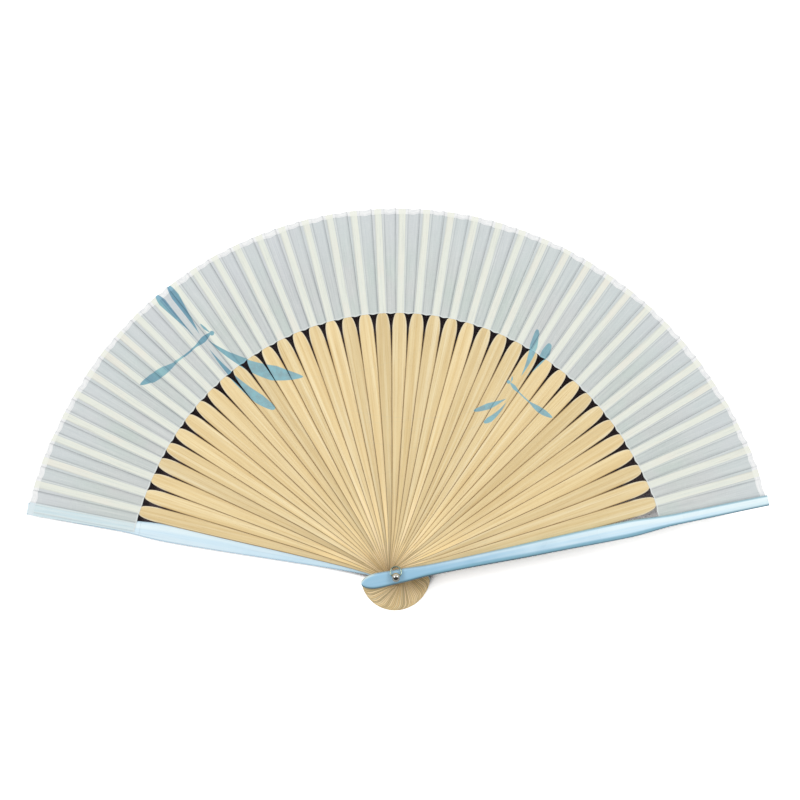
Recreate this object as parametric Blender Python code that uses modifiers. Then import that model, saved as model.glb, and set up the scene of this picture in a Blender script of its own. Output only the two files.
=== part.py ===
"""Folding fan: a pleated silk leaf on bamboo ribs, between two guards, all turning on one rivet.

The fan lies open and flat, its front facing up (+Z) and its middle rib along +Y.
The origin is on the rivet's axis, at the flat back face of the rivet.
From the bottom up the stack is: rivet tail, washer, back guard, ribs from left to right, front guard.
"""

import math

import bmesh
import bpy
from mathutils import Matrix, Vector

MM = 0.001

# How the fan opens
RIB_COUNT = 40
OPEN_ANGLE = math.radians(158.4)
FRONT_STEP = math.radians(4.68)

# Lengths along the slats: the tails lie behind the rivet's axis, the leaf on the other side
LEAF_INNER = 133.9 * MM
LEAF_WIDTH = 54.7 * MM
GUARD_BEYOND_RIM = 3.8 * MM
GUARD_TAIL = 18.0 * MM
RIB_TAIL = 17.8 * MM

# The stack
RIB_THICKNESS = 0.43 * MM
LAYER_GAP = 0.12 * MM
GUARD_THICKNESS = 2.6 * MM
GUARD_TIP_THICKNESS = 1.9 * MM
TONGUE_THICKNESS = 0.16 * MM

# Widths of a guard along its length
GUARD_TAIL_WIDTH = 7.9 * MM
GUARD_RIVET_WIDTH = 7.3 * MM
GUARD_WAIST_WIDTH = 5.7 * MM
GUARD_BELLY_WIDTH = 9.0 * MM
GUARD_LEAF_WIDTH = 6.4 * MM
GUARD_EDGE_ROUND = 1.1 * MM
GUARD_CROWN = 0.35 * MM
GUARD_LAND_SHARE = 0.4
SILK_REBATE = 0.4 * MM

# Widths of a rib along its length
RIB_TAIL_WIDTH = 7.8 * MM
RIB_RIVET_WIDTH = 7.0 * MM
RIB_WAIST_WIDTH = 5.2 * MM
RIB_BELLY_WIDTH = 7.56 * MM
TONGUE_WIDTH = 3.3 * MM
TONGUE_SHORT_OF_RIM = 3.2 * MM

# Where those widths lie, from the rivet's axis or back from the leaf's inner edge
TAIL_SWELL_AT = 9.5 * MM
WAIST_AT = 27.0 * MM
GUARD_WAIST_AT = 18.0 * MM
RIB_SHOULDER = 14.0 * MM
RIB_TAIL_ROUND = 4.0 * MM
GUARD_SHOULDER_BACK = 14.0 * MM
GUARD_SHOULDER_ON = 11.0 * MM

# Silk leaf and its edge tape
SILK_THICKNESS = 0.10 * MM
SILK_OVER_TONGUE = 0.05 * MM
PLEAT_LIFT = 0.12 * MM
PLEAT_STEP_SHARE = 0.05
BINDING_WIDTH = 2.2 * MM
BINDING_THICKNESS = 0.05 * MM
BINDING_GAP = 0.03 * MM
REBATE_LEAD = 0.6 * MM

# Rivet and ring
PIN_DIAMETER = 2.0 * MM
PIN_CLEARANCE = 0.2 * MM
PIN_TAIL_DIAMETER = 4.2 * MM
PIN_TAIL_THICKNESS = 0.7 * MM
PIN_TAIL_EDGE = 0.25 * MM
WASHER_DIAMETER = 6.0 * MM
WASHER_THICKNESS = 0.4 * MM
SEAT_GAP = 0.1 * MM
BALL_DIAMETER = 4.6 * MM
BALL_NECK_DIAMETER = 2.6 * MM
RING_DIAMETER = 6.3 * MM
RING_WIRE = 0.8 * MM
RING_CLEARANCE = 0.3 * MM
RING_REST_GAP = 0.1 * MM

# Sizes and heights that follow from those above
LEAF_OUTER = LEAF_INNER + LEAF_WIDTH
GUARD_REACH = LEAF_OUTER + GUARD_BEYOND_RIM
PITCH = (OPEN_ANGLE - FRONT_STEP) / RIB_COUNT
LAYER = RIB_THICKNESS + LAYER_GAP
WASHER_BOTTOM = PIN_TAIL_THICKNESS + SEAT_GAP
GUARD_BACK_BOTTOM = WASHER_BOTTOM + WASHER_THICKNESS + SEAT_GAP
FIRST_RIB_BOTTOM = GUARD_BACK_BOTTOM + GUARD_THICKNESS + LAYER_GAP
GUARD_FRONT_BOTTOM = FIRST_RIB_BOTTOM + RIB_COUNT * LAYER
GUARD_FRONT_TOP = GUARD_FRONT_BOTTOM + GUARD_THICKNESS
HOLE_RADIUS = PIN_DIAMETER / 2 + PIN_CLEARANCE

# A pleat is half a pitch wide. Its strip on the tongue starts this far before the rib's middle.
PLEAT = PITCH / 2
STRIP_LEAD = math.asin((TONGUE_WIDTH / 2 + SILK_THICKNESS + LAYER_GAP) / LEAF_INNER)

TONGUE_TOP = TONGUE_THICKNESS
SILK_LEVEL = TONGUE_TOP + SILK_OVER_TONGUE
PLEAT_LEVEL = SILK_LEVEL + PLEAT_LIFT

collection = None
cutters = None


def clear_scene():
    """Empties the scene and makes the fan's collection and the cutters' collection."""
    global collection, cutters
    for obj in list(bpy.data.objects):
        bpy.data.objects.remove(obj, do_unlink=True)
    scene = bpy.context.scene
    scene.unit_settings.system = "METRIC"
    scene.unit_settings.scale_length = 1.0
    collection = bpy.data.collections.new("folding_fan")
    cutters = bpy.data.collections.new("cutters")
    scene.collection.children.link(collection)
    scene.collection.children.link(cutters)


def make_material(name, colour, roughness, metallic=0.0):
    """A Principled material of one colour."""
    material = bpy.data.materials.new(name)
    material.use_nodes = True
    shader = material.node_tree.nodes["Principled BSDF"]
    shader.inputs["Base Color"].default_value = (*colour, 1.0)
    shader.inputs["Roughness"].default_value = roughness
    shader.inputs["Metallic"].default_value = metallic
    material.diffuse_color = (*colour, 1.0)
    return material


def add_object(name, mesh, material=None, target=None):
    obj = bpy.data.objects.new(name, mesh)
    if material is not None:
        obj.data.materials.clear()
        obj.data.materials.append(material)
    (target or collection).objects.link(obj)
    return obj


def make_cutter(name, mesh):
    """A helper that only cuts: it's left out of the build."""
    obj = add_object(name, mesh, target=cutters)
    obj.hide_render = True
    obj.display_type = "WIRE"
    return obj


def mesh_from(bm, name):
    mesh = bpy.data.meshes.new(name)
    bmesh.ops.recalc_face_normals(bm, faces=bm.faces)
    bm.to_mesh(mesh)
    bm.free()
    return mesh


def evaluated_mesh(obj, name):
    """A plain mesh of the object with its modifiers applied, in its own frame."""
    bpy.context.view_layer.update()
    graph = bpy.context.evaluated_depsgraph_get()
    mesh = bpy.data.meshes.new_from_object(obj.evaluated_get(graph))
    mesh.name = name
    return mesh


def eased(a, b, t):
    """From a to b with a level start and end."""
    t = min(max(t, 0.0), 1.0)
    return a + (b - a) * t * t * (3.0 - 2.0 * t)


def along(stations, y):
    """The value at y of a smooth run through (y, value) stations."""
    if y <= stations[0][0]:
        return stations[0][1]
    for (y0, v0), (y1, v1) in zip(stations, stations[1:]):
        if y <= y1:
            return eased(v0, v1, (y - y0) / (y1 - y0))
    return stations[-1][1]


def rounded_end(y, end, depth):
    """Share of the full width near a rounded end that is depth deep."""
    inside = min(max((y - end) / depth, 0.0), 1.0)
    return math.sqrt(max(0.0, 1.0 - (1.0 - inside) ** 2))


def rib_half_width(y):
    """Half the rib's width at a distance y from the rivet, positive towards the leaf."""
    shoulder_start = LEAF_INNER - RIB_SHOULDER
    shoulder_end = LEAF_INNER
    tongue = TONGUE_WIDTH / 2
    body = along(
        (
            (-TAIL_SWELL_AT, RIB_TAIL_WIDTH / 2),
            (0.0, RIB_RIVET_WIDTH / 2),
            (WAIST_AT, RIB_WAIST_WIDTH / 2),
            (shoulder_start, RIB_BELLY_WIDTH / 2),
        ),
        y,
    )
    if y > shoulder_start:
        share = min((y - shoulder_start) / (shoulder_end - shoulder_start), 1.0)
        body = tongue + (RIB_BELLY_WIDTH / 2 - tongue) * math.sqrt(1.0 - share**3)
    return body * rounded_end(y, -RIB_TAIL, RIB_TAIL_ROUND)


def guard_half_width(y):
    """Half the guard's width at a distance y from the rivet."""
    width = along(
        (
            (-TAIL_SWELL_AT, GUARD_TAIL_WIDTH / 2),
            (0.0, GUARD_RIVET_WIDTH / 2),
            (GUARD_WAIST_AT, GUARD_WAIST_WIDTH / 2),
            (LEAF_INNER - GUARD_SHOULDER_BACK, GUARD_BELLY_WIDTH / 2),
            (LEAF_INNER + GUARD_SHOULDER_ON, GUARD_LEAF_WIDTH / 2),
        ),
        y,
    )
    return width * rounded_end(y, -GUARD_TAIL, GUARD_TAIL - TAIL_SWELL_AT)


def spread(start, end, count, include_end=False):
    """Evenly spaced values from start towards end."""
    last = count + 1 if include_end else count
    return [start + (end - start) * i / count for i in range(last)]


def end_run(end, depth, count, least):
    """Stations that crowd towards a rounded end, whose first keeps a small flat."""
    angles = spread(math.asin(least), math.pi / 2, count)
    return [end + depth * (1.0 - math.cos(a)) for a in angles]


def rib_stations():
    """Distances along a rib, close together where its outline turns."""
    shoulder_start = LEAF_INNER - RIB_SHOULDER
    stations = end_run(-RIB_TAIL, RIB_TAIL_ROUND, 5, 0.3)
    stations.append(RIB_TAIL_ROUND - RIB_TAIL)
    stations += spread(-TAIL_SWELL_AT, WAIST_AT, 3)
    stations += spread(WAIST_AT, shoulder_start, 4)
    angles = spread(0.0, math.pi / 2, 6)
    stations += [shoulder_start + RIB_SHOULDER * math.sin(a) ** (2 / 3) for a in angles]
    stations += [LEAF_INNER, LEAF_OUTER - TONGUE_SHORT_OF_RIM]
    return stations


def guard_stations():
    """Distances along a guard, from its tail to its tip."""
    belly = LEAF_INNER - GUARD_SHOULDER_BACK
    slender = LEAF_INNER + GUARD_SHOULDER_ON
    stations = end_run(-GUARD_TAIL, GUARD_TAIL - TAIL_SWELL_AT, 6, 0.3)
    stations += spread(-TAIL_SWELL_AT, GUARD_WAIST_AT, 6)
    stations += spread(GUARD_WAIST_AT, belly, 7)
    stations += spread(belly, slender, 7)
    stations += spread(slender, GUARD_REACH, 2, include_end=True)
    return stations


def lofted_slat(name, stations, half_width, across, top_at, bottom_at):
    """A long slat from a grid: each row lies across the slat at one station.

    across holds the row's places, as shares of the half width.
    """
    bm = bmesh.new()
    rows, columns = len(stations) - 1, len(across) - 1
    bmesh.ops.create_grid(bm, x_segments=columns, y_segments=rows, size=1.0)
    corners = sorted(bm.verts, key=lambda v: (round(v.co.y, 5), round(v.co.x, 5)))
    for index, vertex in enumerate(corners):
        y = stations[index // (columns + 1)]
        share = across[index % (columns + 1)]
        half = half_width(y)
        vertex.co = Vector((share * half, y, top_at(y, share, half)))
    top = list(bm.faces)
    lower = bmesh.ops.extrude_face_region(bm, geom=top, use_keep_orig=True)
    for vertex in (v for v in lower["geom"] if isinstance(v, bmesh.types.BMVert)):
        vertex.co.z = bottom_at(vertex.co.y)
    return mesh_from(bm, name)


def rivet_hole_cutter():
    """A round bar on the rivet's axis that drills every slat."""
    bm = bmesh.new()
    height = GUARD_FRONT_TOP * 3
    bmesh.ops.create_cone(
        bm, cap_ends=True, segments=14, radius1=HOLE_RADIUS, radius2=HOLE_RADIUS, depth=height
    )
    return make_cutter("rivet_hole_cutter", mesh_from(bm, "rivet_hole_cutter"))


def drilled(mesh, cutter):
    """The slat's mesh with its rivet hole."""
    blank = add_object(mesh.name + "_blank", mesh, target=cutters)
    hole = blank.modifiers.new("rivet hole", "BOOLEAN")
    hole.operation = "DIFFERENCE"
    hole.solver = "EXACT"
    hole.object = cutter
    made = evaluated_mesh(blank, mesh.name)
    bpy.data.objects.remove(blank, do_unlink=True)
    return made


def clockwise_of(layer):
    """Clockwise angle of a layer's middle line: 0 is the back guard's, the last the front's.

    The ribs are one pitch apart. The front guard has a wider step of its own.
    """
    return OPEN_ANGLE if layer > RIB_COUNT else layer * PITCH


def bearing(layer):
    """Turn of a layer from the fan's middle, about +Z."""
    return OPEN_ANGLE / 2 - clockwise_of(layer)


def layer_bottom(layer):
    """Height of a rib layer's underside."""
    return FIRST_RIB_BOTTOM + (layer - 1) * LAYER


def make_ribs(cutter):
    """The ribs, which share one mesh and lie one above the other, each turned one pitch on."""
    bamboo = make_material("bamboo", (0.80, 0.62, 0.35), 0.55)

    def top_at(y, share, half):
        return TONGUE_THICKNESS if y > LEAF_INNER - 0.5 * MM else RIB_THICKNESS

    blank = lofted_slat("rib", rib_stations(), rib_half_width, (-1.0, 1.0), top_at, lambda y: 0.0)
    mesh = drilled(blank, cutter)
    mesh.materials.clear()
    mesh.materials.append(bamboo)
    for number in range(1, RIB_COUNT + 1):
        rib = add_object(f"rib_{number:02d}", mesh)
        rib.location = (0.0, 0.0, layer_bottom(number))
        rib.rotation_euler = (0.0, 0.0, bearing(number))


def guard_thickness(y):
    """A guard thins towards its tip, along the leaf."""
    start = LEAF_INNER - GUARD_SHOULDER_BACK
    return eased(GUARD_THICKNESS, GUARD_TIP_THICKNESS, (y - start) / (GUARD_REACH - start))


def guard_face(y, share, half):
    """Height of a guard's outer face: a flat land, falling away to rounded edges."""
    edge = min(GUARD_EDGE_ROUND, half * 0.6)
    inset = max(0.0, abs(share) * half - (half - edge)) / edge
    rounding = edge * (1.0 - math.sqrt(max(0.0, 1.0 - inset**2)))
    off_land = max(0.0, abs(share) - GUARD_LAND_SHARE) / (1.0 - GUARD_LAND_SHARE)
    return guard_thickness(y) - GUARD_CROWN * off_land**2 - rounding


def guard_inner_face(y):
    """Height of a guard's flat inner face, which is cut back where the silk is glued."""
    return SILK_REBATE if y > LEAF_INNER - REBATE_LEAD / 2 else 0.0


def make_guards(cutter):
    """The front guard, and the back guard, which is the same piece turned over."""
    lacquer = make_material("blue_lacquer", (0.52, 0.72, 0.85), 0.3)
    land = GUARD_LAND_SHARE
    across = (-1.0, -0.94, -0.78, -land, land, 0.78, 0.94, 1.0)
    stations = guard_stations() + [LEAF_INNER - REBATE_LEAD, LEAF_INNER]
    blank = lofted_slat(
        "guard", sorted(set(stations)), guard_half_width, across, guard_face, guard_inner_face
    )
    mesh = drilled(blank, cutter)
    mesh.materials.clear()
    mesh.materials.append(lacquer)
    mesh.shade_smooth()
    mesh.set_sharp_from_angle(angle=math.radians(40))
    front = add_object("guard_front", mesh)
    front.location = (0.0, 0.0, GUARD_FRONT_BOTTOM)
    front.rotation_euler = (0.0, 0.0, bearing(RIB_COUNT + 1))
    back = add_object("guard_back", mesh)
    back.location = (0.0, 0.0, GUARD_BACK_BOTTOM + GUARD_THICKNESS)
    back.rotation_euler = (0.0, math.pi, bearing(0))


def strip_start(layer):
    """Clockwise angle at which a layer's strip of silk starts, just before its tongue."""
    return clockwise_of(layer) - STRIP_LEAD


def pleat_foot(layer):
    """Clockwise angle at which a layer's free pleat turns up to the next strip."""
    return strip_start(layer + 1) - PLEAT * PLEAT_STEP_SHARE


def leaf_end():
    """How far past a guard's middle the silk reaches, as an angle: to the guard's edge."""
    return math.asin(GUARD_LEAF_WIDTH / 2 / LEAF_OUTER)


def under_front_guard():
    """Height of the last strip's underside, in the front guard's rebate."""
    return GUARD_FRONT_BOTTOM + SILK_REBATE - LAYER_GAP - SILK_THICKNESS


def leaf_profile():
    """(clockwise angle from the back guard's middle, height) of the silk's underside.

    Each layer has a strip on its tongue and a free pleat, which climbs one layer just
    before the next strip.
    """
    profile = []
    for layer in range(RIB_COUNT + 1):
        level = layer_bottom(layer)
        fold = strip_start(layer) + PLEAT
        profile += [
            (strip_start(layer) if layer else -leaf_end(), level + SILK_LEVEL),
            (fold, level + SILK_LEVEL),
            (fold + PLEAT * PLEAT_STEP_SHARE, level + PLEAT_LEVEL),
            (pleat_foot(layer), level + PLEAT_LEVEL),
        ]
    profile += [
        (strip_start(RIB_COUNT + 1), under_front_guard()),
        (OPEN_ANGLE + leaf_end(), under_front_guard()),
    ]
    return profile


def binding_profile():
    """The same for the tape, which runs level over each layer's strip and pleat."""
    profile = []
    for layer in range(RIB_COUNT + 1):
        level = layer_bottom(layer) + SILK_LEVEL
        start = strip_start(layer) if layer else -leaf_end()
        fold = strip_start(layer) + PLEAT
        profile += [(start, level), (fold, level), (pleat_foot(layer), level)]
    last = under_front_guard() - PLEAT_LIFT
    profile += [(strip_start(RIB_COUNT + 1), last), (OPEN_ANGLE + leaf_end(), last)]
    return profile


def polar(radius, clockwise, z):
    """A point at a clockwise angle from the back guard's middle."""
    turn = OPEN_ANGLE / 2 - clockwise
    return Vector((-radius * math.sin(turn), radius * math.cos(turn), z))


def make_leaf():
    """The silk: one sheet, from a grid whose columns follow the pleats."""
    silk = make_material("silk", (0.61, 0.66, 0.67), 0.75)
    profile = leaf_profile()
    bm = bmesh.new()
    bmesh.ops.create_grid(bm, x_segments=len(profile) - 1, y_segments=1, size=1.0)
    order = sorted(bm.verts, key=lambda v: (round(v.co.x, 6), round(v.co.y, 6)))
    for index, vertex in enumerate(order):
        angle, z = profile[index // 2]
        radius = (LEAF_INNER, LEAF_OUTER)[index % 2]
        vertex.co = polar(radius, angle, z)
    upper = bmesh.ops.extrude_face_region(bm, geom=list(bm.faces), use_keep_orig=True)
    moved = [v for v in upper["geom"] if isinstance(v, bmesh.types.BMVert)]
    bmesh.ops.translate(bm, verts=moved, vec=(0.0, 0.0, SILK_THICKNESS))
    add_object("silk_leaf", mesh_from(bm, "silk_leaf"), silk)


def make_binding():
    """The tape folded over the leaf's rim: a channel whose two legs hold the silk's edge."""
    tape = make_material("edge_tape", (0.80, 0.79, 0.80), 0.7)
    profile = binding_profile()
    below = -BINDING_GAP
    above = PLEAT_LIFT + SILK_THICKNESS + BINDING_GAP
    rim = LEAF_OUTER + BINDING_GAP
    inner = LEAF_OUTER - BINDING_WIDTH
    section = ((inner, below), (rim, below), (rim, above), (inner, above))
    bm = bmesh.new()
    bmesh.ops.create_grid(bm, x_segments=len(profile) - 1, y_segments=3, size=1.0)
    order = sorted(bm.verts, key=lambda v: (round(v.co.x, 6), round(v.co.y, 6)))
    for index, vertex in enumerate(order):
        angle, z = profile[index // 4]
        radius, lift = section[index % 4]
        vertex.co = polar(radius, angle, z + lift)
    mesh = bpy.data.meshes.new("rim_binding")
    bm.to_mesh(mesh)
    bm.free()
    binding = add_object("rim_binding", mesh, tape)
    wall = binding.modifiers.new("tape thickness", "SOLIDIFY")
    wall.thickness = BINDING_THICKNESS
    wall.offset = -1.0
    wall.use_even_offset = True


def turned(name, profile, material, segments):
    """A solid of revolution about Z from (radius, z) points that run down its outer side."""
    bm = bmesh.new()
    points = [bm.verts.new((r, 0.0, z)) for r, z in profile]
    for a, b in zip(points, points[1:]):
        bm.edges.new((a, b))
    mesh = bpy.data.meshes.new(name)
    bm.to_mesh(mesh)
    bm.free()
    obj = add_object(name, mesh, material)
    screw = obj.modifiers.new("turn", "SCREW")
    screw.axis = "Z"
    screw.angle = 2 * math.pi
    screw.steps = segments
    screw.render_steps = segments
    screw.use_merge_vertices = True
    screw.merge_threshold = 0.00001
    screw.use_smooth_shade = True
    return obj


def ball_centre():
    """Height of the ball head's middle over the front guard."""
    radius, neck = BALL_DIAMETER / 2, BALL_NECK_DIAMETER / 2
    crown_top = GUARD_FRONT_TOP
    return crown_top + SEAT_GAP + math.sqrt(radius**2 - neck**2)


def make_rivet():
    """The pin with its ball head and its peened tail, and the washer behind the back guard."""
    plated = make_material("plated_steel", (0.75, 0.75, 0.73), 0.15, 1.0)
    ball, neck, shank = BALL_DIAMETER / 2, BALL_NECK_DIAMETER / 2, PIN_DIAMETER / 2
    centre = ball_centre()
    lowest = math.asin(neck / ball)
    profile = []
    for i in range(11):
        turn = (math.pi - lowest) * i / 10
        profile.append((ball * math.sin(turn), centre + ball * math.cos(turn)))
    foot = PIN_TAIL_DIAMETER / 2
    profile += [
        (shank, GUARD_FRONT_TOP + SEAT_GAP),
        (shank, PIN_TAIL_THICKNESS),
        (foot, PIN_TAIL_THICKNESS),
        (foot, PIN_TAIL_EDGE),
        (foot - PIN_TAIL_EDGE, 0.0),
        (0.0, 0.0),
    ]
    pin = turned("rivet_pin", profile, plated, 20)

    # The ring's hole through the ball widens towards both sides, so that the ring can swing
    throat = RING_WIRE / 2 + RING_CLEARANCE
    ring_radius = (RING_DIAMETER - RING_WIRE) / 2
    hole = []
    for i in range(9):
        x = ball * 1.1 * (i / 4 - 1)
        bow = ring_radius - math.sqrt(ring_radius**2 - x**2)
        hole.append((throat + bow, x))
    flare = turned("ring_hole_cutter", [(0.0, ball * 1.1)] + hole[::-1] + [(0.0, -ball * 1.1)], None, 16)
    collection.objects.unlink(flare)
    cutters.objects.link(flare)
    flare.hide_render = True
    flare.display_type = "WIRE"
    flare.rotation_euler = (0.0, math.pi / 2, 0.0)
    flare.location = (0.0, 0.0, centre)
    cut = pin.modifiers.new("ring hole", "BOOLEAN")
    cut.operation = "DIFFERENCE"
    cut.solver = "EXACT"
    cut.object = flare

    inner, outer = shank + PIN_CLEARANCE, WASHER_DIAMETER / 2
    top = WASHER_BOTTOM + WASHER_THICKNESS
    washer = turned(
        "rivet_washer",
        [(inner, top), (outer, top), (outer, WASHER_BOTTOM), (inner, WASHER_BOTTOM), (inner, top)],
        plated,
        24,
    )
    for obj in (pin, washer):
        obj.data.shade_smooth()


def make_ring():
    """The tassel ring through the ball head, tipped back until it rests on the front guard."""
    steel = make_material("ring_steel", (0.72, 0.72, 0.70), 0.2, 1.0)
    radius = (RING_DIAMETER - RING_WIRE) / 2
    hinge = bpy.data.objects.new("ring_hinge", None)
    collection.objects.link(hinge)
    hinge.location = (0.0, 0.0, ball_centre())
    bpy.ops.mesh.primitive_torus_add(
        align="WORLD",
        location=(0.0, 0.0, 0.0),
        rotation=(0.0, 0.0, 0.0),
        major_segments=26,
        minor_segments=8,
        major_radius=radius,
        minor_radius=RING_WIRE / 2,
    )
    ring = bpy.context.active_object
    ring.name = "tassel_ring"
    ring.data.name = "tassel_ring"
    ring.data.transform(Matrix.Translation((0.0, radius, 0.0)))
    for owner in list(ring.users_collection):
        owner.objects.unlink(ring)
    collection.objects.link(ring)
    ring.data.materials.append(steel)
    ring.data.shade_smooth()
    drop = ball_centre() - GUARD_FRONT_TOP - RING_WIRE / 2 - RING_REST_GAP
    ring.parent = hinge
    ring.rotation_euler = (-math.asin(drop / (2 * radius)), 0.0, 0.0)


def main():
    clear_scene()
    cutter = rivet_hole_cutter()
    make_ribs(cutter)
    make_guards(cutter)
    make_leaf()
    make_binding()
    make_rivet()
    make_ring()
    bpy.context.view_layer.update()


main()
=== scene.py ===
"""The folding fan's looks: finer bamboo, lacquer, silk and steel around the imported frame."""

import math

import bmesh
import bpy
import numpy as np
from mathutils import Matrix, Vector


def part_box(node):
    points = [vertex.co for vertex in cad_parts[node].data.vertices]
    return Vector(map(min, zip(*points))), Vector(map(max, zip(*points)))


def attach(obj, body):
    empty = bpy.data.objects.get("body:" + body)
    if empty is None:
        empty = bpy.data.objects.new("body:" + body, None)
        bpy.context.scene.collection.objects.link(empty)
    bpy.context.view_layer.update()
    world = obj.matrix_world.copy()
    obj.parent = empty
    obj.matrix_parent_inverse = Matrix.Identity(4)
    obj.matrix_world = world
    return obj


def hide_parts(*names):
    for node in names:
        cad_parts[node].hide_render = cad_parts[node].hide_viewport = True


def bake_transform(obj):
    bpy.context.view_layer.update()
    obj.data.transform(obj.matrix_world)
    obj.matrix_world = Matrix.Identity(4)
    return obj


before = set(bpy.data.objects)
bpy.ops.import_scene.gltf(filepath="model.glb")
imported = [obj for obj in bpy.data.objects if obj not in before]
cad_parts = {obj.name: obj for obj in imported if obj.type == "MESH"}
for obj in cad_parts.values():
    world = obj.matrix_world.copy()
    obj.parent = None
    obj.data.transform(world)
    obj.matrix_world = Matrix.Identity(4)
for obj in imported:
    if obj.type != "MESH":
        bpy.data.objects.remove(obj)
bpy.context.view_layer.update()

MM = 0.001
ROOT, FRONT, RING = "back_guard", "front_guard", "ring"

# sizes, as in the frame: the stack
RIBS = 40
OPEN = math.radians(158.4)
LAST_STEP = math.radians(4.68)
PITCH = (OPEN - LAST_STEP) / RIBS
PLEAT = PITCH / 2
LAYER = 0.55 * MM
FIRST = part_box("rib_01")[0].z
FRONT_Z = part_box("guard_front")[0].z
BACK_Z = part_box("guard_back")[0].z
HOLE_R = 1.2 * MM
LEAF_IN = 133.9 * MM
LEAF_OUT = 188.6 * MM

# a rib, from its tail to the tongue under the silk
RIB_T = 0.43 * MM
RIB_TAIL = 17.8 * MM
RIB_ROUND = 4.0 * MM
SWELL = 9.5 * MM
WAIST = 27.0 * MM
RIB_BELLY_HALF = 3.78 * MM
SHOULDER = 14.0 * MM
TONGUE_T = 0.16 * MM
TONGUE_W = 3.3 * MM
TONGUE_END = LEAF_OUT - 3.2 * MM
# the last rib's belly: how much broader, and from where to where it grows
LAST_BROADER = 1.0 * MM
LAST_BROADENS = (60 * MM, 112 * MM)

# a guard
GUARD_T = 2.6 * MM
GUARD_TIP_T = 1.9 * MM
GUARD_REACH = 192.4 * MM
GUARD_TAIL = 18.0 * MM
GUARD_WAIST = 18.0 * MM
GUARD_LEAF_HALF = 3.2 * MM
BELLY = LEAF_IN - 14.0 * MM
SLENDER = LEAF_IN + 11.0 * MM
# the front guard's outer side is planed narrower: places along it and how much, in millimetres
PLANED = ((0, 65, 90, 120, 150, 180), (0.0, 0.0, 0.4, 0.4, 0.7, 0.95))
# the lacquer's screen colours near the tail, towards the leaf, at the tip and on the outer
# side, and how much the last shows; the lighter colours towards the leaf and at the tip are
# painted highlight, and the front guard's darker outer side is painted shade
GUARD_LOOKS = {
    "guard_front": ((156, 200, 226), (212, 240, 255), (224, 246, 252), (126, 178, 200), 0.9),
    "guard_back": ((200, 230, 246), (217, 240, 252), (232, 244, 248), (236, 246, 250), 0.0),
}

# the silk's thickness, and its height over a rib's lower face on the tongue and on the free
# pleat, and over the front guard's flat side
SILK_T = 0.06 * MM
STRIP_LEVEL = 0.21 * MM
PLEAT_LEVEL = 0.35 * MM
GUARD_LEVEL = 0.18 * MM
# each strip starts at this angle before its rib's middle
LEAD = math.asin((TONGUE_W / 2 + 0.22 * MM) / LEAF_IN)
# the free pleat rises to the next strip in its last part, from this share of its width on
RISER = 0.955

# how far the leaf's inner edge and its rim stray from their circles, as (layer, millimetres)
EDGE_IN = (
    (0, 2.3), (1, 1.6), (2, 0.9), (4, 0.3), (6, 0.0), (30, 0.0),
    (34, 0.45), (37, 0.8), (38, 1.25), (39, 1.95), (40, 2.7), (41, 2.8),
)
EDGE_OUT = (
    (0, 3.0), (1, 2.8), (2, 2.1), (4, 0.8), (6, 0.4), (9, -0.1), (12, -0.7), (16, -1.2),
    (20, -1.35), (26, -1.25), (30, -0.9), (33, -0.3), (36, 0.3), (38, 1.4), (40, 2.6), (41, 2.8),
)

# in the "grain" map the ribs lie side by side, and each is shifted along its length
GRAIN_STEP = 0.1
GRAIN_SHIFT = 0.013
# the range over which the print shifts from one face of a pleat to the next
PRINT_SHIFT = 1.3 * MM
# stitches of the tape in each cell
STITCHES = 14.0


def layer_z(i):
    return FIRST + (i - 1) * LAYER


def clockwise_of(i):
    """Clockwise angle of a layer's middle from the back guard's; the front guard is the last."""
    return OPEN if i > RIBS else i * PITCH


def bearing(i):
    """Turn of a layer about +Z from the fan's middle."""
    return OPEN / 2 - clockwise_of(i)


def eased(a, b, t):
    t = min(max(t, 0.0), 1.0)
    return a + (b - a) * t * t * (3.0 - 2.0 * t)


def along(stations, y):
    """The value at a place, eased from one station to the next."""
    if y <= stations[0][0]:
        return stations[0][1]
    for (y0, v0), (y1, v1) in zip(stations, stations[1:]):
        if y <= y1:
            return eased(v0, v1, (y - y0) / (y1 - y0))
    return stations[-1][1]


def stray(stations, layer):
    return along(stations, layer) * MM


def round_end(y, end, depth):
    inside = min(max((y - end) / depth, 0.0), 1.0)
    return math.sqrt(max(0.0, 1.0 - (1.0 - inside) ** 2))


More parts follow.
